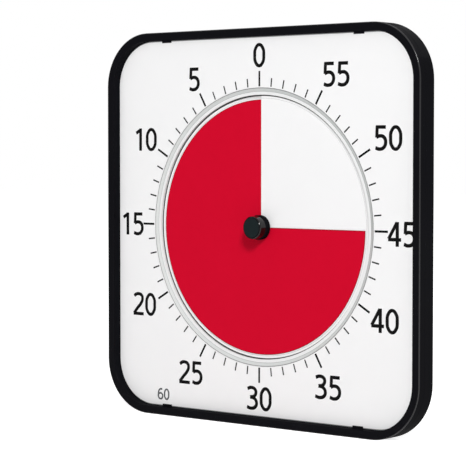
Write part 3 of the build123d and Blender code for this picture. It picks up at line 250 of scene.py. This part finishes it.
mark_start = 153.1 * MM
long_mark_end = 169.8 * MM
short_mark_end = 162.4 * MM
long_mark_width = 2.4 * MM
short_mark_width = 1.6 * MM
marks = bmesh.new()
for minute in range(60):
    whole = minute % 5 == 0
    end = long_mark_end if whole else short_mark_end
    width = long_mark_width if whole else short_mark_width
    size = Matrix.Diagonal((width, ink_depth, end - mark_start, 1))
    reach = Matrix.Translation((0, ink_middle, (mark_start + end) / 2))
    turn = Matrix.Rotation(-radians(6 * minute), 4, "Y")
    bmesh.ops.create_cube(marks, size=1, matrix=Matrix.Translation(dial_middle) @ turn @ reach @ size)
piece("minute_marks", keep(marks, "minute_marks"), black_ink)

# Each digit is a few strokes of a round pen. A point is (across, up, weight), in millimetres from the
# digit's middle and as a share of the pen.
pen = 4.02
digit_pitch = 18.5
digit_strokes = {
    "0": [("loop", (0, 11.4, 0.93), (5.05, 7.4, 1.0), (6.25, 0, 1.04), (5.05, -7.4, 1.0),
           (0, -11.4, 0.93), (-5.05, -7.4, 1.0), (-6.25, 0, 1.04), (-5.05, 7.4, 1.0))],
    "1": [("line", (2.1, 12.7, 1.04), (2.1, -12.7, 1.04)),
          ("line", (2.5, 11.3, 0.95), (-4.6, 7.2, 0.95))],
    "2": [("bend", (-6.7, 8.7, 0.96), (-3.7, 10.8, 0.95), (0.4, 11.4, 0.94), (4.9, 9.6, 1.00),
           (6.0, 5.7, 1.03), (3.9, 0.9, 1.00), (-1.3, -4.6, 0.97), (-6.9, -10.9, 0.95)),
          ("line", (-7.8, -11.4, 0.93), (7.9, -11.4, 0.93))],
    "3": [("bend", (-6.9, 9.9, 0.95), (-1.6, 11.4, 0.94), (3.8, 9.6, 1.00), (4.9, 6.0, 1.03),
           (2.6, 2.3, 0.97), (-3.3, 0.9, 0.93)),
          ("bend", (-3.3, 0.9, 0.93), (3.0, -0.5, 0.97), (5.8, -5.2, 1.03), (3.9, -9.6, 1.00),
           (-1.6, -11.4, 0.94), (-7.7, -10.2, 0.96))],
    "4": [("line", (3.5, 12.7, 1.04), (3.5, -12.7, 1.04)),
          ("line", (2.9, 11.9, 0.97), (-7.3, -5.0, 0.97)),
          ("line", (-7.9, -5.6, 0.93), (8.3, -5.6, 0.93))],
    "5": [("line", (-6.3, 11.4, 0.93), (6.2, 11.4, 0.93)),
          ("line", (-4.6, 12.4, 1.00), (-5.1, 0.6, 1.00)),
          ("bend", (-5.5, 0.9, 0.94), (-1.0, 2.3, 0.93), (4.0, 0.8, 1.00), (6.1, -4.3, 1.04),
           (3.9, -9.5, 1.00), (-1.2, -11.4, 0.94), (-6.8, -10.1, 0.96))],
    "6": [("loop", (0.2, 1.9, 0.93), (5.6, -1.2, 1.03), (5.6, -8.0, 1.03),
           (0.2, -11.4, 0.93), (-5.7, -8.0, 1.03), (-5.9, -1.2, 1.03)),
          ("bend", (5.2, 10.6, 0.95), (0.6, 11.4, 0.94), (-4.6, 7.6, 1.00), (-6.6, -1.2, 1.04),
           (-6.2, -6.0, 1.03))],
}


def write_number(shape, text, middle, scale=1.0):
    """Add a printed number to a bmesh, its middle at (across, up) from the dial's middle."""
    for place, digit in enumerate(text):
        for kind, *points in digit_strokes[digit]:
            line = bpy.data.curves.new("stroke", "CURVE")
            line.dimensions = "3D"
            line.bevel_depth = pen / 2 * scale * MM
            line.bevel_resolution = 0
            line.use_fill_caps = True
            line.resolution_u = 8
            spline = line.splines.new("BEZIER")
            spline.bezier_points.add(len(points) - 1)
            spline.use_cyclic_u = kind == "loop"
            for point, (across, up, weight) in zip(spline.bezier_points, points):
                point.co = (across * scale * MM, 0, up * scale * MM)
                point.radius = weight
                point.handle_left_type = "VECTOR" if kind == "line" else "AUTO"
                point.handle_right_type = point.handle_left_type
            drawn = bpy.data.objects.new("stroke", line)
            flat = bpy.data.meshes.new_from_object(drawn)
            bpy.data.objects.remove(drawn)
            shift = (place - (len(text) - 1) / 2) * digit_pitch * scale * MM
            spot = dial_middle + Vector((middle[0] + shift, ink_middle, middle[1]))
            thin = ink_depth / (pen * scale * MM)
            flat.transform(Matrix.Translation(spot) @ Matrix.Diagonal((1, thin, 1, 1)))
            shape.from_mesh(flat)
            bpy.data.meshes.remove(flat)
            bpy.data.curves.remove(line)


number_places = {
    "0": (-0.2, 186.8), "5": (-93.1, 162.7), "10": (-166.8, 96.0), "15": (-186.9, -0.6),
    "20": (-168.3, -92.3), "25": (-98.6, -166.0), "30": (-0.2, -187.1), "35": (93.4, -167.5),
    "40": (166.3, -92.5), "45": (187.2, -2.3), "50": (169.7, 96.5), "55": (103.1, 163.7),
}
numbers = bmesh.new()
for text, (across, up) in number_places.items():
    write_number(numbers, text, (across * MM, up * MM))
piece("dial_numbers", keep(numbers, "dial_numbers"), black_ink)

full_turn_mark = bmesh.new()
write_number(full_turn_mark, "60", (-139.4 * MM, -193.6 * MM), scale=0.5)
piece("full_turn_mark", keep(full_turn_mark, "full_turn_mark"), grey_ink)

# ---------------------------------------------------------------- dial
# The ring is white moulded ABS and the plate behind it white styrene sheet, slit at 12 o'clock. The disc
# is thin red film: it slips through the slit, and its cut edges show a darker red.
ledge_radius = 144.1 * MM
ledge_foot = 147.7 * MM
ring_edge = 151.6 * MM
disc_radius = 139.0 * MM
disc_edge = 0.7 * MM
ring_white = surface(
    "ring_white", (0.82, 0.825, 0.825), (0.8, 0.805, 0.805), (0.16, 0.24),
    drift=50 * MM, lift=1e-6, gloss=0.35,
)
dress(ring_white, "dial_ring")
plate_white = surface(
    "plate_white", (0.9, 0.9, 0.903), (0.888, 0.888, 0.892), (0.45, 0.55),
    drift=70 * MM, lift=1.5e-6, gloss=0.1,
)
dress(plate_white, "dial_plate", "disc_hub")
red_film = surface(
    "red_film", (0.625, 0.0026, 0.0245), (0.6, 0.002, 0.0215), (0.5, 0.6),
    drift=80 * MM, grain=0.3 * MM, lift=1e-6, gloss=0.03,
)
dress(red_film, "red_disc")


def stepped(finish, value, start, end, bands):
    """Even bands of tone along a value, as (where the band starts, its tone)."""
    reach = finish.node_tree.nodes.new("ShaderNodeMapRange")
    settle(reach.inputs["From Min"], start)
    settle(reach.inputs["From Max"], end)
    settle(reach.inputs["Value"], value)
    tones = finish.node_tree.nodes.new("ShaderNodeValToRGB")
    tones.color_ramp.interpolation = "CONSTANT"
    stops = tones.color_ramp.elements
    for index, (band_start, tone) in enumerate(bands):
        spot = (band_start - start) / (end - start)
        stop = stops[index] if index < 2 else stops.new(spot)
        stop.position = spot
        stop.color = (*tone, 1)
    settle(tones.inputs["Fac"], reach.outputs["Result"])
    return tones.outputs["Color"]


def ringed(finish, start, end, bands):
    """Shade a finish in rings round the dial's axis, as (inner radius, share of the tone)."""
    radius = distance(finish, ("SUBTRACT", dial_middle), ("MULTIPLY", (1, 0, 1)))
    repaint(finish, stepped(finish, radius, start, end, bands), kind="MULTIPLY")


# Painted shade: the ring is darkened a little at the inner edge of its ledge, in a dark line at the
# ledge's foot, to a grey-green over its slope and in a dark line at its outer edge.
ringed(ring_white, ledge_radius - 2 * MM, ring_edge + 2 * MM, [
    (ledge_radius - 2 * MM, (0.9, 0.9, 0.9)),
    (ledge_radius + 0.2 * MM, (1, 1, 1)),
    (ledge_foot - 0.3 * MM, (0.55, 0.56, 0.56)),
    (ledge_foot + 0.2 * MM, (0.76, 0.785, 0.775)),
    (ring_edge - 0.7 * MM, (0.36, 0.37, 0.37)),
])
# A dark line painted round the plate's rim stands for the shadow under the ledge; a faint grey line lies
# inside it.
ringed(plate_white, ledge_radius - 5 * MM, ledge_radius + 1 * MM, [
    (ledge_radius - 5 * MM, (1, 1, 1)),
    (ledge_radius - 3.9 * MM, (0.6, 0.6, 0.6)),
    (ledge_radius - 3.5 * MM, (1, 1, 1)),
    (ledge_radius - 1.3 * MM, (0.06, 0.06, 0.06)),
])
ringed(red_film, disc_radius - 2 * MM, disc_radius + 1 * MM, [
    (disc_radius - 2 * MM, (1, 1, 1)),
    (disc_radius - disc_edge, (0.5, 0.45, 0.5)),
])
beside_cut = reckon(red_film, "COMPARE", along_axis(red_film, "Z"), dial_middle.z, disc_edge)
right_half = reckon(red_film, "GREATER_THAN", along_axis(red_film, "X"), 0)
repaint(red_film, (0.27, 0.001, 0.01, 1), reckon(red_film, "MULTIPLY", beside_cut, right_half))

# ---------------------------------------------------------------- knob
# The setting knob is turned from black acrylic and pressed on the spindle. It has a matt front face, a
# polished barrel, and a satin rim and collar with a fine groove ahead of the collar.
knob_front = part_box("knob")[0].y
knob_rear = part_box("knob")[1].y
knob_radius = 12.4 * MM
face_radius = 10.7 * MM
rim_width = knob_radius - face_radius
rim_facet = knob_front + 0.42 * rim_width
collar_radius = 13.4 * MM
collar_front = -3.6 * MM
collar_bevel = 0.7 * MM
groove = 0.45 * MM
groove_rear = collar_front - 0.5 * groove
pocket_radius = 10.9 * MM
pocket_depth = -2.2 * MM
bore_radius = 3.02 * MM
bore_end = -10.02 * MM
knob_polish = surface(
    "knob_polish", (0.0034, 0.0032, 0.0036), (0.0024, 0.0022, 0.0026), (0.05, 0.08),
    drift=10 * MM, grain=0.8 * MM, lift=1e-7, gloss=0.3,
)
knob_face = surface(
    "knob_face", (0.0078, 0.0134, 0.0146), (0.0062, 0.0112, 0.0124), (0.5, 0.6),
    drift=12 * MM, grain=0.15 * MM, lift=2e-6, gloss=0.06,
)
satin_black = moulded_black("satin_black", 0.1)


def turned(outline, steps=96):
    """Spin an outline of (radius, depth), from axis to axis, about the dial's axis into a solid."""
    shape = bmesh.new()
    corners = [shape.verts.new((radius, depth, 0)) for radius, depth in outline]
    edges = [shape.edges.new(pair) for pair in zip(corners, corners[1:])]
    bmesh.ops.spin(
        shape, geom=corners + edges, cent=(0, 0, 0), axis=(0, 1, 0), angle=2 * pi, steps=steps,
        use_merge=True,
    )
    bmesh.ops.remove_doubles(shape, verts=shape.verts, dist=1e-6)
    bmesh.ops.translate(shape, vec=dial_middle, verts=shape.verts)
    return shape


knob_shape = turned([
    (0, knob_front),
    (face_radius * 0.97, knob_front),
    (face_radius, knob_front),
    (face_radius + 0.1 * rim_width, knob_front + 0.04 * rim_width),
    (face_radius + 0.5 * rim_width, rim_facet),
    (face_radius + 0.92 * rim_width, knob_front + 0.86 * rim_width),
    (knob_radius, knob_front + rim_width),
    (knob_radius, collar_front - 2 * groove),
    (knob_radius - groove, collar_front - 1.5 * groove),
    (knob_radius - groove, groove_rear),
    (collar_radius - collar_bevel, collar_front),
    (collar_radius - 0.3 * collar_bevel, collar_front + 0.3 * collar_bevel),
    (collar_radius, collar_front + collar_bevel),
    (collar_radius, knob_rear),
    (pocket_radius, knob_rear),
    (pocket_radius, pocket_depth),
    (bore_radius, pocket_depth),
    (bore_radius, bore_end),
    (0, bore_end),
])
for face in knob_shape.faces:
    face.smooth = True
    depth = face.calc_center_median().y
    if depth < knob_front + 0.02 * MM:
        face.material_index = 1
    elif depth < rim_facet or depth > groove_rear:
        face.material_index = 2
knob_mesh = keep(knob_shape, "knob_turned")
knob_mesh.set_sharp_from_angle(angle=radians(28))
knob_turned = piece("knob_turned", knob_mesh, knob_polish, "dial")
knob_mesh.materials.append(knob_face)
knob_mesh.materials.append(satin_black)
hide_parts("knob")

# ---------------------------------------------------------------- back: cover, battery door and feet
# The cover, the door and the swing-out feet are black ABS with a fine spark-eroded grain, so that hands
# don't mark them. The cover is screwed on through four columns, and the feet swing on steel pins.
grained_black = surface(
    "grained_black", (0.0215, 0.0218, 0.024), (0.0155, 0.0157, 0.0175), (0.42, 0.52),
    grain=0.45 * MM, lift=2.5e-5, gloss=0.15,
)
dress(grained_black, "rear_cover", "battery_door", "foot_left", "foot_right")
soft_rubber = surface(
    "soft_rubber", (0.022, 0.022, 0.023), (0.014, 0.014, 0.015), (0.7, 0.85),
    grain=0.3 * MM, lift=1e-5, gloss=0.3,
)
dress(soft_rubber, "foot_pad_left", "foot_pad_right")

# ---------------------------------------------------------------- plated and bare metal
# The screws, pins and keyhole plate are zinc-plated steel, and the spindle is bright steel. The magnets,
# springs, contacts and the motor's and crystal's cans are nickel plated. Collar and pinion are brass.
zinc_steel = surface(
    "zinc_steel", (0.47, 0.48, 0.49), (0.34, 0.35, 0.37), (0.22, 0.4),
    drift=2.5 * MM, grain=0.12 * MM, lift=2e-6, metal=1.0,
)
dress(
    zinc_steel, "panel_screws", "cover_screws", "drive_screws", "board_screws", "wall_hanger",
    "foot_pins", "idler_pin", "spindle",
)
nickel = surface(
    "nickel", (0.46, 0.445, 0.42), (0.3, 0.29, 0.275), (0.16, 0.3),
    drift=5 * MM, grain=0.2 * MM, lift=2e-6, metal=1.0,
)
dress(
    nickel, "magnets", "battery_contacts", "battery_springs", "clutch_spring", "drive_motor", "crystal"
)
brass = surface(
    "brass", (0.74, 0.55, 0.26), (0.62, 0.44, 0.19), (0.2, 0.32),
    drift=3 * MM, grain=0.1 * MM, lift=1e-6, metal=1.0,
)
dress(brass, "clutch_collar", "motor_pinion")

# ---------------------------------------------------------------- controls on the back
# Two knurled knobs and a lever of black ABS stand in the cover's pocket. The knobs carry a white line,
# and white marks are pad printed round them: four lengths of time, and a rising wedge for the volume.
dress(grained_black, "duration_knob", "volume_knob", "alert_lever")
mark_white = printing("mark_white", (0.74, 0.74, 0.73))
controls_across = -62 * MM
duration_middle = 245 * MM
volume_middle = 190 * MM
lever_middle = 217 * MM
pocket_floor = 35.3 * MM
print_depth = 0.04 * MM
print_front = pocket_floor - print_depth / 4
print_rear = pocket_floor + print_depth
line_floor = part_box("duration_knob")[1].y - 0.6 * MM
line_rear = line_floor + 0.15 * MM
line_width = 1.1 * MM
duration_settings = 4
duration_ring = 13.2 * MM
duration_mark_width = 0.8 * MM
volume_marks = 13
volume_ring = 9.4 * MM
volume_mark_width = 0.7 * MM


def bar(shape, middle, turn, offset, length, width, front, rear):
    """Add a flat bar with rounded ends that points away from a control's axis at the back."""
    size = Matrix.Diagonal((width, rear - front, length, 1))
    reach = Matrix.Translation((0, 0, offset))
    spin = Matrix.Rotation(turn, 4, "Y")
    spot = Matrix.Translation((controls_across, (front + rear) / 2, middle))
    made = bmesh.ops.create_cube(shape, size=1, matrix=spot @ spin @ reach @ size)
    corners = [
        edge for edge in {edge for vert in made["verts"] for edge in vert.link_edges}
        if abs(edge.verts[0].co.y - edge.verts[1].co.y) > (rear - front) / 2
    ]
    bmesh.ops.bevel(
        shape, geom=corners, offset=width * 0.49, offset_type="OFFSET", affect="EDGES", segments=4,
        profile=0.5, material=-1,
    )


for knob, body in (("duration_knob", "duration_selector"), ("volume_knob", "volume_dial")):
    lowest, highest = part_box(knob)
    knob_middle = (lowest.z + highest.z) / 2
    reach_out = round((highest.z - lowest.z) / 2, 4)
    line_length = reach_out - 2.5 * MM
    painted = bmesh.new()
    bar(painted, knob_middle, 0, reach_out / 2, line_length, line_width, line_floor, line_rear)
    piece(knob + "_line", keep(painted, knob + "_line"), mark_white, body)

legends = bmesh.new()
for step in range(duration_settings):
    turn = radians(60 - 40 * step)
    length = (1.6 + 0.8 * step) * MM
    bar(
        legends, duration_middle, turn, duration_ring, length, duration_mark_width, print_front,
        print_rear,
    )
for step in range(volume_marks):
    turn = radians(150 - 25 * step)
    length = (0.9 + 0.22 * step) * MM
    bar(
        legends, volume_middle, turn, volume_ring + length / 2, length, volume_mark_width, print_front,
        print_rear,
    )
for up, width in ((8.5, 2.2), (-8.5, 0.8)):
    bar(legends, lever_middle, 0, up * MM, 2.2 * MM, width * MM, print_front, print_rear)
piece("control_marks", keep(legends, "control_marks"), mark_white)

# ---------------------------------------------------------------- inside the case
# The panel and the drive's case are grey ABS, the wheels and bush white acetal, the board glass-filled
# epoxy under green lacquer, the switches, sounder and capacitor black, and the leads red PVC.
grey_plastic = surface(
    "grey_plastic", (0.2, 0.205, 0.21), (0.17, 0.175, 0.18), (0.4, 0.5), grain=0.5 * MM, lift=8e-6
)
dress(grey_plastic, "card_panel", "drive_base", "drive_lid", "battery_tray")
acetal = surface("acetal", (0.78, 0.77, 0.73), (0.72, 0.71, 0.67), (0.28, 0.36), lift=1e-6)
dress(acetal, "centre_wheel", "idler_wheel", "spindle_bush")
part_black = surface(
    "part_black", (0.02, 0.02, 0.021), (0.014, 0.014, 0.015), (0.35, 0.5), drift=5 * MM
)
dress(
    part_black, "selector_switch", "volume_pot", "alert_switch", "timer_chip", "capacitor", "sounder"
)
lead_red = surface("lead_red", (0.45, 0.02, 0.02), (0.36, 0.014, 0.014), (0.35, 0.45), drift=6 * MM)
dress(lead_red, "battery_lead", "motor_lead", "sounder_lead")
board_green = surface(
    "board_green", (0.016, 0.11, 0.035), (0.008, 0.07, 0.022), (0.25, 0.35), drift=6 * MM
)
dress(board_green, "circuit_board")

# Each cell is a steel can in a printed sleeve, dark with a copper band at its raised end. They lie head
# to tail, so the band changes ends from one cell to the next.
cell_pitch = 15.2 * MM
cell_middle = 136 * MM
cell_half = 28 * MM
sleeve_start = -22.3 * MM
copper_start = 12.5 * MM
sleeve_end = 25.7 * MM
bare_steel = (0.5, 0.5, 0.51)
cell_wrap = surface(
    "cell_wrap", (1, 1, 1), (0.86, 0.86, 0.86), (0.2, 0.3),
    drift=10 * MM, grain=0.2 * MM, lift=1e-6, gloss=0.4,
)
from_first = reckon(cell_wrap, "ADD", along_axis(cell_wrap, "X"), 2 * cell_pitch)
column = reckon(cell_wrap, "FLOOR", reckon(cell_wrap, "DIVIDE", from_first, cell_pitch))
odd_column = reckon(cell_wrap, "MODULO", column, 2)
heading = reckon(cell_wrap, "ADD", reckon(cell_wrap, "MULTIPLY", odd_column, -2), 1)
height = reckon(cell_wrap, "SUBTRACT", along_axis(cell_wrap, "Z"), cell_middle)
along = reckon(cell_wrap, "MULTIPLY", height, heading)
sleeve = stepped(cell_wrap, along, -cell_half, cell_half, [
    (-cell_half, bare_steel),
    (sleeve_start, (0.012, 0.013, 0.018)),
    (copper_start, (0.55, 0.22, 0.08)),
    (sleeve_end, bare_steel),
])
repaint(cell_wrap, sleeve, kind="MULTIPLY")
from_sleeve = reckon(cell_wrap, "SUBTRACT", along, (sleeve_start + sleeve_end) / 2)
off_sleeve = reckon(cell_wrap, "ABSOLUTE", from_sleeve)
bare = reckon(cell_wrap, "GREATER_THAN", off_sleeve, (sleeve_end - sleeve_start) / 2)
settle(setting(cell_wrap, "Metallic"), bare)
dress(cell_wrap, "battery_cells")

# ---------------------------------------------------------------- floor, light and camera
# A white sweep in a studio: a pale floor, a soft even surround, a large soft lamp high on the right, a
# weak one near the camera and a broad one behind. The floor and surround are seen as white, and give
# less light than that.
floor_reach = 9.0
floor_shape = bmesh.new()
bmesh.ops.create_grid(floor_shape, x_segments=1, y_segments=1, size=floor_reach)
floor = bpy.data.objects.new("floor", bpy.data.meshes.new("floor"))
floor_shape.to_mesh(floor.data)
floor_shape.free()
bpy.context.scene.collection.objects.link(floor)


def shown(thing):
    """1 where the camera sees a thing, straight, in a gloss or through glass, and 0 elsewhere."""
    path = thing.node_tree.nodes.new("ShaderNodeLightPath")
    beyond = reckon(thing, "MAXIMUM", path.outputs["Is Glossy Ray"], path.outputs["Is Transmission Ray"])
    return reckon(thing, "MAXIMUM", path.outputs["Is Camera Ray"], beyond)


floor_glow = 0.75
pale = bpy.data.materials.new("pale_floor")
pale.use_nodes = True
floor.data.materials.append(pale)
settle(setting(pale, "Base Color"), (0.82, 0.82, 0.82, 1))
settle(setting(pale, "Roughness"), 0.9)
settle(setting(pale, "Specular IOR Level"), 0.0)
settle(setting(pale, "Emission Color"), (1, 1, 1, 1))
settle(setting(pale, "Emission Strength"), reckon(pale, "MULTIPLY", shown(pale), floor_glow))

surround_light = 0.28
surround = bpy.data.worlds.new("surround")
bpy.context.scene.world = surround
surround.use_nodes = True
settle(setting(surround, "Color", "Background"), (1, 1, 1, 1))
settle(
    setting(surround, "Strength", "Background"), ranged(surround, shown(surround), surround_light, 1.0)
)


def bearing(side, height):
    """The way from the dial towards a place at angles to the right of the front and above it."""
    return Vector((sin(side) * cos(height), -cos(side) * cos(height), sin(height)))


def lamp(name, side, height, away, size, power):
    """A square soft lamp aimed at the dial."""
    light = bpy.data.lights.new(name, "AREA")
    light.shape = "SQUARE"
    light.size = size
    light.energy = power
    towards = bearing(radians(side), radians(height))
    stand = bpy.data.objects.new(name, light)
    stand.location = dial_middle + away * towards
    stand.rotation_euler = towards.to_track_quat("Z", "Y").to_euler()
    bpy.context.scene.collection.objects.link(stand)
    return stand


key_lamp = lamp("key_lamp", side=45, height=31.5, away=8.0, size=1.76, power=486)
lamp("fill_lamp", side=-8, height=14, away=5.0, size=2.6, power=22)
lamp("back_lamp", side=180, height=40, away=5.0, size=4.4, power=62)

# The raised lip is kept from throwing the key lamp's shadow across the top of the card.
lip_kept_clear = bpy.data.collections.new("lip_kept_clear")
lip_kept_clear.objects.link(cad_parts["bezel"])
lip_kept_clear.collection_objects[0].light_linking.link_state = "EXCLUDE"
key_lamp.light_linking.blocker_collection = lip_kept_clear

view_side = radians(39.48)
view_away = 2.0668
aim = Vector((-0.037, 0, 0.2089))
back = bearing(view_side, radians(2.566))
right = Vector((cos(view_side), sin(view_side), 0))
upward = back.cross(right)
lens = bpy.data.cameras.new("view")
lens.lens = 145.11
lens.sensor_width = 36.0
view = bpy.data.objects.new("view", lens)
turned_to_dial = Matrix((right, upward, back)).transposed().to_4x4()
view.matrix_world = Matrix.Translation(aim + view_away * back) @ turned_to_dial
bpy.context.scene.collection.objects.link(view)
bpy.context.scene.camera = view
bpy.context.scene.view_settings.view_transform = "Standard"
